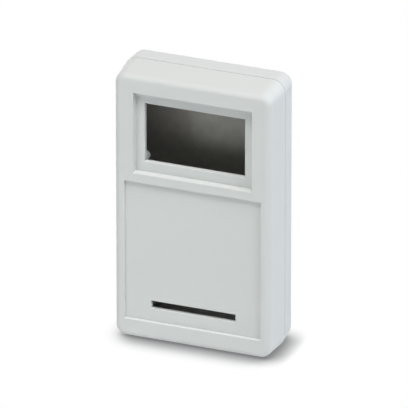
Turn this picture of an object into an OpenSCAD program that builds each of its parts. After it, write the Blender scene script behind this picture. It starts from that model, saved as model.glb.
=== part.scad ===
// Upright electronics enclosure: two moulded half shells, screwed together from the back.
// Built lying on its back (x across, y up the case, z from the back to the front), then stood up.

/* [Case] */
// Width across the side walls at the seam, where the case is widest
body_w = 86.8; // [85:0.1:100]
// Height, standing on its lower end
body_h = 149.7; // [147.5:0.1:180]
// Depth, from the back to the front face
body_d = 32.3; // [30:0.1:42]
// Depth of the rear shell, from the back to the seam
rear_d = 13.9; // [11:0.1:15.5]
// Angle by which the walls lean in, from the seam to the front and to the back, in degrees
lean = 5; // [2:0.1:5.4]
// How far the lower end is cut flat, so that the case can stand on it
foot_cut = 0.5; // [0.3:0.05:0.7]
// Wall thickness of both shells
wall = 2.2; // [1.8:0.1:2.6]
// Corner radius of the outline at the seam, seen from the front
corner_r = 7; // [6:0.5:9]
// Radius that rounds the front and back edges
edge_r = 3; // [1.5:0.5:4]

/* [Display recess] */
// Width of the recess round the display opening
display_w = 63.8; // [58:0.2:70]
// Height of that recess
display_h = 44.6; // [38:0.1:46.4]
// Depth of that recess
display_depth = 3.7; // [2:0.1:4.5]
// Distance from the top of the case to that recess
display_top = 11.3; // [9.6:0.1:12.7]
// Width of the display opening
sight_w = 54; // [44:0.5:55]
// Height of the display opening
sight_h = 32.5; // [24:0.1:33.6]
// How far the middle of that opening lies below the middle of its recess
sight_drop = 0.3; // [0:0.1:0.5]

/* [Keypad recess] */
// Width of the recess for the keypad
keypad_w = 73.8; // [60:0.2:75]
// Height of that recess
keypad_h = 77.8; // [60:0.1:79.4]
// Depth of that recess
keypad_depth = 1.5; // [0.5:0.1:2]
// Distance from the bottom of the case to that recess
keypad_base = 11; // [9.3:0.1:12.3]
// Width of the slot that the keypad's flat tail goes through
tail_slot_w = 45.6; // [20:0.2:60]
// Height of that slot
tail_slot_h = 4.3; // [2:0.1:5]
// Distance from the foot of the keypad recess to the middle of that slot
tail_slot_rise = 9.4; // [6:0.1:20]

/* [Edges and seam] */
// Radius that rounds the rims of the recesses and openings
rim_r = 0.3; // [0.1:0.05:0.5]
// How far a recess narrows from its rim to its floor, on each side
draft = 0.12; // [0:0.02:0.3]
// Gap between the two shells' rims at the seam
seam_gap = 0.4; // [0.1:0.05:0.5]
// Chamfer on each side of the seam
seam_chamfer = 0.1; // [0.05:0.05:0.3]
// Thickness of the tongue on the rear shell's rim
tongue_t = 0.9; // [0.6:0.05:1]
// Height of that tongue
tongue_h = 1.4; // [0.8:0.1:2]
// Gap round that tongue in the front shell's rim
tongue_gap = 0.1; // [0.05:0.05:0.2]

/* [Screws] */
// Distance from the outside of the case at the seam to each screw
screw_inset = 9; // [8.6:0.1:9.6]
// Diameter of a screw's shank
screw_d = 2.9; // [2.5:0.1:3.2]
// Diameter of a screw's threaded core, and of the hole that it cuts its thread in
core_d = 2.5; // [2:0.1:2.5]
// Length of a screw under its head
screw_len = 19; // [15:0.5:21]
// Diameter of a screw's head
head_d = 5.4; // [5:0.1:5.8]
// Height of a screw's head
head_h = 2; // [1.6:0.1:2.4]
// Length of the cross slots in a head
cross_l = 3.2; // [2.4:0.1:3.6]
// Width of those slots
cross_w = 0.7; // [0.5:0.1:1]
// Depth of those slots
cross_depth = 1.2; // [0.8:0.1:1.4]
// Depth from the back to the seat under a head
seat_depth = 3; // [2.6:0.1:4]
// Gap round a screw's shank and head
screw_gap = 0.3; // [0.2:0.05:0.4]
// Room in a boss past the tip of its screw
tip_room = 1.5; // [0.5:0.1:2]

/* [Bosses] */
// Diameter of a screw boss in the front shell
boss_d = 7; // [6:0.1:7.4]
// Wall round a head's counterbore in the rear shell
pillar_wall = 1.1; // [0.8:0.1:1.2]
// Thickness of the ribs that tie bosses to walls
rib_t = 1.2; // [0.8:0.1:1.6]
// Diameter of a display boss
display_boss_d = 5.5; // [4.5:0.1:6]
// Distance from the side of the display opening out to the middle of a display boss
display_boss_out = 3.5; // [3.2:0.1:3.8]
// Distance from the top or bottom of that opening out to the middle of a display boss
display_boss_past = 1.25; // [0:0.25:3]
// Depth from the front face to the end of a display boss
display_boss_end = 13.6; // [9:0.1:18]
// Diameter of a board post in the rear shell
post_d = 6; // [5:0.1:7]
// Height of a board post above the back wall
post_h = 5; // [3:0.5:6]
// Spacing of the board posts across the case
post_pitch_w = 52; // [40:0.5:56]
// Spacing of the board posts up the case
post_pitch_h = 112; // [90:0.5:114]
// Diameter of the screw hole in a display boss or a board post
fixing_d = 2.2; // [1.6:0.1:2.6]
// Wall left between that hole and the outside
fixing_floor = 1.2; // [0.8:0.1:1.5]

/* [Hidden] */
$fn = 32;
// Facets round the screws
screw_facets = 20;
// A cutter runs this far past the face that it starts at
over = 1;
// A boss or rib runs this far into the wall that it stands on
root = 0.6;
// Least radius inside a rounded edge
least_r = 0.5;
// The step behind a recess runs past the recess's side walls by this much
step_lap = 1;
// A rib stops this far from the seam or the tongue
rib_gap = 0.6;
shell_grey = [0.80, 0.81, 0.80];
zinc = [0.72, 0.73, 0.75];

inner_r = max(edge_r - wall, least_r);
middle_y = (body_h - foot_cut) / 2;
corner_x = body_w / 2 - corner_r;
corner_rise = middle_y + foot_cut - corner_r;
display_y = body_h - display_top - display_h / 2;
sight_y = display_y - sight_drop;
keypad_y = keypad_base + keypad_h / 2;
tail_slot_y = keypad_base + tail_slot_rise;
display_floor = body_d - display_depth;
keypad_floor = body_d - keypad_depth;
hole_d = screw_d + 2 * screw_gap;
counterbore_d = head_d + 2 * screw_gap;
pillar_d = counterbore_d + 2 * pillar_wall;
step_margin = wall + step_lap;
rib_low = rear_d + tongue_h + rib_gap;
rib_high = rear_d - rib_gap;
boss_top = body_d - wall + root;
boss_hole_end = seat_depth + screw_len + tip_room;
display_boss_low = body_d - display_boss_end;
display_boss_top = display_floor - wall + root;
display_boss_hole_end = display_floor - fixing_floor;
post_end = wall + post_h;
screw_places = grid(body_w - 2 * screw_inset, body_h + foot_cut - 2 * screw_inset, middle_y);
display_boss_places = grid(sight_w + 2 * display_boss_out, sight_h + 2 * display_boss_past, sight_y);
post_places = grid(post_pitch_w, post_pitch_h, middle_y);

// Four places at the corners of a rectangle whose middle is y up the case.
function grid(w, h, y) = [for (i = [-1, 1], j = [-1, 1]) [i * w / 2, y + j * h / 2]];

// Stands the case on its lower end, with its front towards -Y.
module stand() {
    translate([0, body_d / 2, 0]) rotate([90, 0, 0]) children();
}

// Carries a section round the outline. Its x runs out from the corners' centres, its y is the depth.
module around_outline() {
    turns = [[1, 1], [-1, 1], [-1, -1], [1, -1]];
    runs = [2 * corner_rise, 2 * corner_x];
    for (k = [0:3]) translate([turns[k][0] * corner_x, middle_y + turns[k][1] * corner_rise]) rotate(90 * k) {
        rotate_extrude(angle = 90) children();
        rotate([90, 0, 0]) linear_extrude(runs[k % 2]) children();
    }
}

// The flat middle of a wall, inside the corners' centres.
module middle(low, high) {
    translate([-corner_x, middle_y - corner_rise, low]) cube([2 * corner_x, 2 * corner_rise, high - low]);
}

// A section from the corner's centre out to reach. Its side leans in, and a radius joins it to the top.
module leaning_section(reach, low, high, r) {
    centre = [reach - (high - r - low) * tan(lean) - r / cos(lean), high - r];
    polygon([[0, low], [reach, low], centre + r * [cos(lean), sin(lean)], centre,
             [centre[0], high], [0, high]]);
    translate(centre) intersection() {
        circle(r);
        square(r);
    }
}

// The space under the flat that the case stands on.
module below_foot() {
    translate([-body_w / 2, -foot_cut - over, -over])
        cube([body_w, foot_cut + over, body_d + 2 * over]);
}

// The corner that is taken off a rim that ends at y.
module seam_corner(y, side) {
    translate([corner_r, y])
        polygon([[over, 0], [-seam_chamfer, 0], [0, side * seam_chamfer], [over, side * seam_chamfer]]);
}

// The front shell's wall, with the rebate that takes the tongue.
module front_section() {
    rim = rear_d + seam_gap;
    difference() {
        leaning_section(corner_r, rim, body_d, edge_r);
        leaning_section(corner_r - wall, rear_d, body_d - wall, inner_r);
        translate([0, rear_d - over])
            square([corner_r - wall + tongue_t + tongue_gap, tongue_h + tongue_gap + over]);
        seam_corner(rim, 1);
    }
}

// The rear shell's wall, with its tongue.
module rear_section() {
    difference() {
        translate([0, rear_d]) mirror([0, 1]) leaning_section(corner_r, 0, rear_d, edge_r);
        translate([0, rear_d]) mirror([0, 1]) leaning_section(corner_r - wall, 0, rear_d - wall, inner_r);
        translate([0, rear_d]) square([corner_r - wall, over]);
        seam_corner(rear_d, -1);
    }
    translate([corner_r - wall, rear_d - root]) square([tongue_t, tongue_h + root]);
}

// Half of a recess's section: the narrowing side and the rounded rim.
function side_points(half, depth) = concat(
    [[half - draft, -depth]],
    [for (t = [0:22.5:90]) [half + rim_r * (1 - cos(t)), rim_r * (sin(t) - 1)]],
    [[half + rim_r, over]]);

module recess_section(size, depth) {
    side = side_points(size / 2, depth);
    polygon(concat(side, [for (i = [len(side) - 1:-1:0]) [-side[i][0], side[i][1]]]));
}

// Cutter for a square-cornered recess. It reaches depth below the face at z = 0.
module recess(w, h, depth) {
    intersection() {
        translate([0, h / 2 + over, 0]) rotate([90, 0, 0]) linear_extrude(h + 2 * over)
            recess_section(w, depth);
        translate([-w / 2 - over, 0, 0]) rotate([90, 0, 90]) linear_extrude(w + 2 * over)
            recess_section(h, depth);
    }
}

// The raised step behind a recess keeps the front wall equally thick.
module step_behind(w, h, y, floor_z) {
    translate([-w / 2 - step_margin, y - h / 2 - step_margin, floor_z - wall])
        cube([w + 2 * step_margin, h + 2 * step_margin, body_d - wall + root - (floor_z - wall)]);
}

// A rib from a screw's axis out into the leaning wall on that side.
module rib(side, low, high) {
    function out(z) = screw_inset - wall + root - abs(z - rear_d) * tan(lean);
    linear_extrude(rib_t, center = true)
        polygon([[0, low], [side * out(low), low], [side * out(high), high], [0, high]]);
}

// Two ribs from a screw boss out to the nearest walls.
module corner_ribs(place, low, high) {
    translate(place) {
        rotate([90, 0, 0]) rib(sign(place[0]), low, high);
        rotate([90, 0, 90]) rib(sign(place[1] - middle_y), low, high);
    }
}

// A round peg or hole at each place, from low to high.
module round_at(places, d, low, high) {
    for (p = places) translate([p[0], p[1], low]) cylinder(d = d, h = high - low);
}

module front_shell() {
    color(shell_grey) stand() difference() {
        union() {
            around_outline() front_section();
            middle(body_d - wall, body_d);
            step_behind(display_w, display_h, display_y, display_floor);
            step_behind(keypad_w, keypad_h, keypad_y, keypad_floor);
            round_at(screw_places, boss_d, rear_d, boss_top);
            for (p = screw_places) corner_ribs(p, rib_low, boss_top);
            round_at(display_boss_places, display_boss_d, display_boss_low, display_boss_top);
        }
        translate([0, display_y, body_d]) recess(display_w, display_h, display_depth);
        translate([0, sight_y, display_floor]) recess(sight_w, sight_h, wall + over);
        translate([0, keypad_y, body_d]) recess(keypad_w, keypad_h, keypad_depth);
        translate([0, tail_slot_y, keypad_floor]) recess(tail_slot_w, tail_slot_h, wall + over);
        round_at(screw_places, core_d, rear_d - over, boss_hole_end);
        round_at(display_boss_places, fixing_d, display_boss_low - over, display_boss_hole_end);
        below_foot();
    }
}

module rear_shell() {
    color(shell_grey) stand() difference() {
        union() {
            around_outline() rear_section();
            middle(0, wall);
            round_at(screw_places, pillar_d, wall - root, rear_d);
            for (p = screw_places) corner_ribs(p, wall - root, rib_high);
            round_at(post_places, post_d, wall - root, post_end);
        }
        round_at(screw_places, counterbore_d, -over, seat_depth);
        round_at(screw_places, hole_d, 0, rear_d + over);
        round_at(post_places, fixing_d, fixing_floor, post_end + over);
        below_foot();
    }
}

module case_screws() {
    $fn = screw_facets;
    color(zinc) stand() for (p = screw_places) translate([p[0], p[1], seat_depth]) screw();
}

// A self-tapping screw, head towards -z. Its thread is left out: below the seam it is as thick as its core.
module screw() {
    tip = core_d / 2;
    crown = 0.5;
    difference() {
        union() {
            rotate_extrude() difference() {
                translate([0, -head_h]) square([head_d / 2, head_h]);
                translate([head_d / 2 - crown, -head_h + crown]) difference() {
                    translate([0, -crown - over]) square(crown + over);
                    circle(crown);
                }
            }
            cylinder(d = screw_d, h = rear_d - seat_depth);
            cylinder(d = core_d, h = screw_len - tip);
            translate([0, 0, screw_len - tip]) cylinder(d1 = core_d, d2 = core_d / 4, h = tip);
        }
        for (a = [0, 90]) rotate(a) translate([-cross_l / 2, -cross_w / 2, -head_h - over])
            cube([cross_l, cross_w, cross_depth + over]);
    }
}

front_shell();
rear_shell();
case_screws();
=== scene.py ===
import math

import bpy
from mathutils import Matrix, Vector

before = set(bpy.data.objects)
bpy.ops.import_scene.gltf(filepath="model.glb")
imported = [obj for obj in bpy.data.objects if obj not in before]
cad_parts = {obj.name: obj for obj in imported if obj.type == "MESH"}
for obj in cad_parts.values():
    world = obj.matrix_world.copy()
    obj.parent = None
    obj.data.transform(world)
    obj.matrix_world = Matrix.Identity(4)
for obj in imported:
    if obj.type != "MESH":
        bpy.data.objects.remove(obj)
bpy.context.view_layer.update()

# The front shell is the deep half of the case, moulded in light grey ABS. The mould is spark
# eroded, which leaves a fine even grain on every outside face and takes the shine off it.
SHELL_GREY = (0.598, 0.624, 0.614, 1)
SHELL_CLOUD = (0.584, 0.612, 0.605, 1)
CLOUD_SIZE = 0.028
CLOUD_DETAIL = 3.0
CLOUD_SWIRL = 0.6
GRAIN_SIZE = 0.00035
GRAIN_DETAIL = 2.0
GRAIN_HEIGHT = 0.00004
SHELL_ROUGHNESS = 0.75
ROUGHNESS_SPREAD = 0.12


class Wire:
    """An output socket of a node. +, - and * on wires and numbers add Math nodes, in any order."""

    def __init__(self, tree, socket=None):
        self.tree = tree
        self.socket = socket

    def node(self, kind, settings=None, inputs=None, output=0):
        """Adds a node of that kind: its settings first, then the values or wires of its sockets."""
        made = self.tree.nodes.new(kind)
        for name, value in (settings or {}).items():
            setattr(made, name, value)
        for name, value in (inputs or {}).items():
            if isinstance(value, Wire):
                self.tree.links.new(value.socket, made.inputs[name])
            else:
                made.inputs[name].default_value = value
        return Wire(self.tree, made.outputs[output] if made.outputs else None)

    def maths(self, operation, first, second):
        return self.node("ShaderNodeMath", {"operation": operation}, {0: first, 1: second})

    def __add__(self, other):
        return self.maths("ADD", self, other)

    def __radd__(self, other):
        return self.maths("ADD", other, self)

    def __sub__(self, other):
        return self.maths("SUBTRACT", self, other)

    def __rsub__(self, other):
        return self.maths("SUBTRACT", other, self)

    def __mul__(self, other):
        return self.maths("MULTIPLY", self, other)

    def __rmul__(self, other):
        return self.maths("MULTIPLY", other, self)


def new_material(name):
    """An empty material, and a wire that adds nodes to it."""
    material = bpy.data.materials.new(name)
    material.use_nodes = True
    material.node_tree.nodes.clear()
    return material, Wire(material.node_tree)


def finish_surface(nodes, shader):
    """Sends a shader to the material's output."""
    nodes.node("ShaderNodeOutputMaterial", None, {"Surface": shader})


def noise(nodes, place, size, detail, swirl=0.0):
    """Soft random spots of about that size, from 0 to 1 with a middle of a half."""
    return nodes.node("ShaderNodeTexNoise", None,
                      {"Vector": place, "Scale": 1 / size, "Detail": detail, "Distortion": swirl})


def blend(nodes, share, first, second):
    """The first colour where share is 0, the second where it is 1."""
    return nodes.node("ShaderNodeMix", {"data_type": "RGBA"},
                      {"Factor": share, 6: first, 7: second}, output=2)


def coat(nodes, colour, metallic, roughness, relief, height):
    """A finish of that colour and shine, with the relief raised by up to height as a bump."""
    bump = nodes.node("ShaderNodeBump", None,
                      {"Height": relief, "Distance": height, "Strength": 1.0})
    return nodes.node("ShaderNodeBsdfPrincipled", None,
                      {"Base Color": colour, "Metallic": metallic, "Roughness": roughness,
                       "Normal": bump})


def grained(nodes, place):
    """Light grey plastic with the fine grain of a spark-eroded mould. The colour clouds slightly
    where the melt flowed, and the shine varies a little with the cloud and from grain to grain."""
    grain = noise(nodes, place, GRAIN_SIZE, GRAIN_DETAIL)
    cloud = noise(nodes, place, CLOUD_SIZE, CLOUD_DETAIL, CLOUD_SWIRL)
    roughness = SHELL_ROUGHNESS + (grain + cloud - 1.0) * ROUGHNESS_SPREAD
    return coat(nodes, blend(nodes, cloud, SHELL_GREY, SHELL_CLOUD), 0.0, roughness,
                grain, GRAIN_HEIGHT)


def moulded_plastic():
    """The grained plastic alone."""
    material, nodes = new_material("moulded_plastic")
    place = nodes.node("ShaderNodeTexCoord", output="Object")
    finish_surface(nodes, grained(nodes, place))
    return material


def dress(node, material):
    """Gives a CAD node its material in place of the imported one."""
    node.data.materials.clear()
    node.data.materials.append(material)


dress(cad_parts["front_shell"], moulded_plastic())

# The rear shell is the shallow half, moulded in the same plastic. Its tongue sits inside the
# front shell's rim, and a narrow gap between the rims is the seam that runs round the case.
CORNER_X = 0.0364  # axes of the rounded corners, from the case's middle line
CORNER_Z = 0.0681  # the same, up and down from the middle of its height
MIDDLE_Z = 0.0746
SEAM_Y = 0.00225
WALL_LEAN = 0.0875  # inwards, for each unit behind the seam
INSIDE_REACH = 0.0059  # from a corner's axis to the middle of the wall, at the seam
INSIDE_Y = 0.0145  # in the thickness of the back
# The faces inside the rear shell's walls are painted dark, with a random mottle, for the shade
# inside the closed case. This painted shade stops short of both ends of the shell.
SHADE_COAT_HALF = 0.0626  # half the height that the painted shade covers
SHADE_COAT = (0.363, 0.354, 0.327, 1)
SHADE_COAT_DARKER = (0.275, 0.267, 0.244, 1)
SHADE_COAT_METALLIC = 0.3
SHADE_COAT_ROUGHNESS = 0.57
SHADE_COAT_SPREAD = 0.2
SHADE_COAT_PEEL = 0.00001
MOTTLE_SIZE = 0.004
MOTTLE_DETAIL = 4.0


def shade_coated(nodes, place):
    """A dark metallic coat that paints in the shade inside the closed case: mottled darker in
    random spots, with a faint orange-peel bump.
    """
    mottle = noise(nodes, place, MOTTLE_SIZE, MOTTLE_DETAIL)
    roughness = SHADE_COAT_ROUGHNESS + (mottle - 0.5) * SHADE_COAT_SPREAD
    return coat(nodes, blend(nodes, mottle, SHADE_COAT, SHADE_COAT_DARKER), SHADE_COAT_METALLIC, roughness,
                mottle, SHADE_COAT_PEEL)


def plastic_with_painted_shade():
    """The same plastic outside, and a dark metallic coat of painted shade on the faces inside the
    walls, standing for the shade inside the closed case, left off at both ends of the shell. A face
    counts as inside when it lies before the middle of the back's thickness, and when its distance
    past the axes of the rounded corners, plus what the walls lean in by there, is less than the
    radius of the middle of the walls."""
    material, nodes = new_material("plastic_with_painted_shade")
    place = nodes.node("ShaderNodeTexCoord", output="Object")
    x, y, z = (nodes.node("ShaderNodeSeparateXYZ", None, {0: place}, output=i) for i in range(3))
    from_middle = z.maths("ABSOLUTE", z - MIDDLE_Z, 0.0)
    past_x = x.maths("MAXIMUM", x.maths("ABSOLUTE", x, 0.0) - CORNER_X, 0.0)
    past_z = z.maths("MAXIMUM", from_middle - CORNER_Z, 0.0)
    reach = z.maths("SQRT", past_x * past_x + past_z * past_z, 0.0)
    reach = reach + (y - SEAM_Y) * WALL_LEAN
    inside = reach.maths("LESS_THAN", reach, INSIDE_REACH) * y.maths("LESS_THAN", y, INSIDE_Y)
    shade_coated_faces = inside * z.maths("LESS_THAN", from_middle, SHADE_COAT_HALF)
    shader = nodes.node("ShaderNodeMixShader", None,
                        {0: shade_coated_faces, 1: grained(nodes, place), 2: shade_coated(nodes, place)})
    finish_surface(nodes, shader)
    return material


dress(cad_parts["rear_shell"], plastic_with_painted_shade())

# Four steel self-tapping screws hold the shells together. They are cold headed, zinc plated in a
# drum, and driven in from the back, where their pan heads sit sunk below the face.
ZINC = (0.47, 0.49, 0.52, 1)
ZINC_WARM = (0.68, 0.66, 0.59, 1)
ZINC_ROUGHNESS = 0.2
ZINC_SPREAD = 0.12
SPANGLE_SIZE = 0.0012
SPANGLE_DETAIL = 3.0
TUMBLE_SIZE = 0.00025
TUMBLE_DETAIL = 2.0
DENT_DEPTH = 0.00003


def zinc_plate():
    """Bright zinc on steel: the passivation tints it from bluish to straw, and tumbling in the
    plating drum leaves fine dents and duller spots."""
    material, nodes = new_material("zinc_plate")
    place = nodes.node("ShaderNodeTexCoord", output="Object")
    spangle = noise(nodes, place, SPANGLE_SIZE, SPANGLE_DETAIL)
    tumble = noise(nodes, place, TUMBLE_SIZE, TUMBLE_DETAIL)
    roughness = ZINC_ROUGHNESS + spangle * ZINC_SPREAD + tumble * ZINC_SPREAD
    finish_surface(nodes, coat(nodes, blend(nodes, spangle, ZINC, ZINC_WARM), 1.0, roughness,
                               tumble, DENT_DEPTH))
    return material


dress(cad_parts["case_screws"], zinc_plate())

# The floor is a plain white sheet of matt paper, laid flat and wide enough to run out of the view
# on all sides. The case stands on it, and the soft shadow round it that the camera sees is painted
# into the floor's white glow.
FLOOR_HALF = 3.0
FLOOR_WHITE = (0.85, 0.85, 0.85, 1)
PURE_WHITE = (1.0, 1.0, 1.0, 1)
# The camera sees the floor as a white glow with the case's shadow painted into it. The painted
# shadow is slightly bluish, and darkest where the case hides the most open sky behind and to the
# left.
PAINTED_SHADOW_TINT = (0.0, 0.006, 0.012, 1)
SHADOW_SAMPLES = 16
PAINTED_SHADOW_BEHIND = dict(lean=(0.0, 0.8, 0.6), reach=0.020, contact=0.310, clear=0.715, dark=0.586)
PAINTED_SHADOW_LEFT = dict(lean=(-0.6, 0.0, 0.8), reach=0.010, contact=0.292, clear=0.963, dark=0.366)


def seen_ray(nodes):
    """1 for a ray that the camera sends, straight or by a reflection or through a clear piece."""
    camera = nodes.node("ShaderNodeLightPath", output="Is Camera Ray")
    glossy = nodes.node("ShaderNodeLightPath", output="Is Glossy Ray")
    through = nodes.node("ShaderNodeLightPath", output="Is Transmission Ray")
    return camera.maths("MINIMUM", camera + glossy + through, 1.0)


def painted_floor_shadow(nodes, lean, reach, contact, clear, dark):
    """Painted shadow on the floor: a brightness that goes from dark to 1 as the share of open sky
    round the direction lean, looked for no further than reach, goes from contact to clear."""
    upwards = nodes.node("ShaderNodeCombineXYZ", None, dict(enumerate(lean)))
    light = nodes.node("ShaderNodeAmbientOcclusion", {"samples": SHADOW_SAMPLES},
                       {"Distance": reach, "Normal": upwards}, output="AO")
    return nodes.node("ShaderNodeMapRange", None,
                      {"Value": light, "From Min": contact, "From Max": clear,
                       "To Min": dark, "To Max": 1.0})


def floor_sheet():
    """Matt white in the lamps' light. The camera sees it as a pure white glow with a painted soft,
    slightly bluish shadow of the case, darkest where the case hides the open sky behind and to the
    left."""
    material, nodes = new_material("floor_sheet")
    shade = painted_floor_shadow(nodes, **PAINTED_SHADOW_BEHIND) * painted_floor_shadow(nodes, **PAINTED_SHADOW_LEFT)
    glow_with_painted_shadow = nodes.node("ShaderNodeEmission", None,
                       {"Color": blend(nodes, shade, PAINTED_SHADOW_TINT, PURE_WHITE)})
    matt = nodes.node("ShaderNodeBsdfDiffuse", None, {"Color": FLOOR_WHITE})
    finish_surface(nodes, nodes.node("ShaderNodeMixShader", None,
                                     {0: seen_ray(nodes), 1: matt, 2: glow_with_painted_shadow}))
    return material


corners = [(-FLOOR_HALF, -FLOOR_HALF, 0), (FLOOR_HALF, -FLOOR_HALF, 0),
           (FLOOR_HALF, FLOOR_HALF, 0), (-FLOOR_HALF, FLOOR_HALF, 0)]
sheet = bpy.data.meshes.new("floor")
sheet.from_pydata(corners, [], [(0, 1, 2, 3)])
floor = bpy.data.objects.new("floor", sheet)
bpy.context.scene.collection.objects.link(floor)
sheet.materials.append(floor_sheet())

# Studio light: a dim even surround, two lamps above the front, one high on the right, one behind
# on the right that lifts the side wall, one low behind on the left for the back, and a small card
# low on the left.
SURROUND = 0.17
SURROUND_SEEN = 1.0
CASE_MIDDLE = (0.0, 0.0, 0.075)
world = bpy.data.worlds.new("surround")
bpy.context.scene.world = world
world.use_nodes = True
world.node_tree.nodes.clear()
sky = Wire(world.node_tree)
strength = SURROUND + seen_ray(sky) * (SURROUND_SEEN - SURROUND)
background = sky.node("ShaderNodeBackground", None, {"Color": PURE_WHITE, "Strength": strength})
sky.node("ShaderNodeOutputWorld", None, {"Surface": background})


def lamp(name, place, size, power, colour):
    """A square area lamp at place, turned to the middle of the case."""
    light = bpy.data.lights.new(name, "AREA")
    light.size = size
    light.energy = power
    light.color = colour
    holder = bpy.data.objects.new(name, light)
    bpy.context.scene.collection.objects.link(holder)
    holder.location = place
    aim = Vector(CASE_MIDDLE) - Vector(place)
    holder.rotation_euler = aim.to_track_quat("-Z", "Y").to_euler()


lamp("high", (0.0, -0.40, 1.55), 0.5, 12.1, (1.07, 0.975, 0.96))
lamp("key", (0.0, -0.65, 1.45), 0.35, 4.45, (0.975, 1.02, 0.995))
lamp("right", (1.2, -0.4, 1.0), 0.5, 9.4, (0.978, 0.997, 1.028))
lamp("behind", (1.3, 0.9, 0.5), 0.6, 6.2, (0.883, 0.966, 1.155))
lamp("back", (-1.2, 1.15, 0.18), 0.3, 8.5, (1.0, 1.0, 1.0))
lamp("card", (-0.24, -0.34, 0.07), 0.12, 0.252, (0.92, 1.03, 1.045))

# The camera is a long lens, level from side to side, at the photograph's angles to the right and
# from above. FRAME_WIDTH is what it takes in across the case, in metres.
AZIMUTH = 20.66
ELEVATION = 26.01
DISTANCE = 6.0
AIM = (0.0003, 0.0, 0.0745)
SENSOR = 36.0
FRAME_WIDTH = 0.20669
NEAREST = 0.1
FARTHEST = 20.0
turn = math.radians(AZIMUTH)
rise = math.radians(ELEVATION)
back = Vector((math.sin(turn) * math.cos(rise), -math.cos(turn) * math.cos(rise), math.sin(rise)))
view = bpy.data.cameras.new("camera")
view.sensor_width = SENSOR
view.lens = SENSOR * DISTANCE / FRAME_WIDTH
view.clip_start = NEAREST
view.clip_end = FARTHEST
camera = bpy.data.objects.new("camera", view)
bpy.context.scene.collection.objects.link(camera)
camera.location = Vector(AIM) + back * DISTANCE
camera.rotation_euler = (-back).to_track_quat("-Z", "Y").to_euler()
bpy.context.scene.camera = camera
bpy.context.scene.view_settings.view_transform = "Standard"
